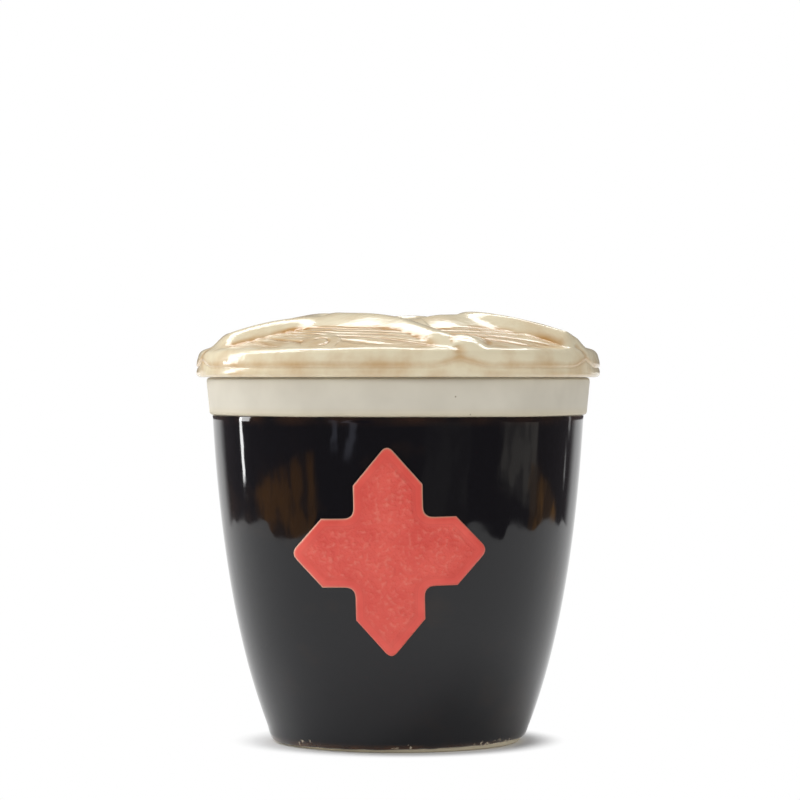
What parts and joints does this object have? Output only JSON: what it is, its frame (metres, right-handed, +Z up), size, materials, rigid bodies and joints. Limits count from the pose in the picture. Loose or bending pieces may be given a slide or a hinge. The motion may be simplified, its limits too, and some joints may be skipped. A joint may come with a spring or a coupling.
{
  "type": "lidded condiment jar",
  "caption": "Round glazed stoneware condiment jar, tapering to its foot, with a bare mouth collar, a raised red medallion and a loose domed lid with a whorl of petals.",
  "frame": {"origin": "middle of the foot ring, on the surface that the jar stands on", "axes": "+Z up along the jar's axis, -Y towards the front with the medallion, +X to the right seen from the front"},
  "size_m": [0.1, 0.1, 0.1063],
  "materials": {
    "bare_stoneware": "matt unglazed clay",
    "black_glaze": "gloss iron glaze",
    "dark_liner_glaze": "gloss iron glaze",
    "red_enamel": "satin enamel",
    "cream_glaze": "gloss amber cream glaze"
  },
  "bodies": {
    "jar": {"stoneware_pot": "bare_stoneware", "outer_glaze": "black_glaze", "liner_glaze": "dark_liner_glaze", "red_medallion": "red_enamel"},
    "lid": {"lid_cap": "cream_glaze", "lid_spigot": "bare_stoneware"}
  },
  "joints": [
    {"name": "lid_lift", "type": "slide", "parent": "jar", "child": "lid", "axis": [0, 0, 1], "range_m": [0, 0.06]}
  ]
}
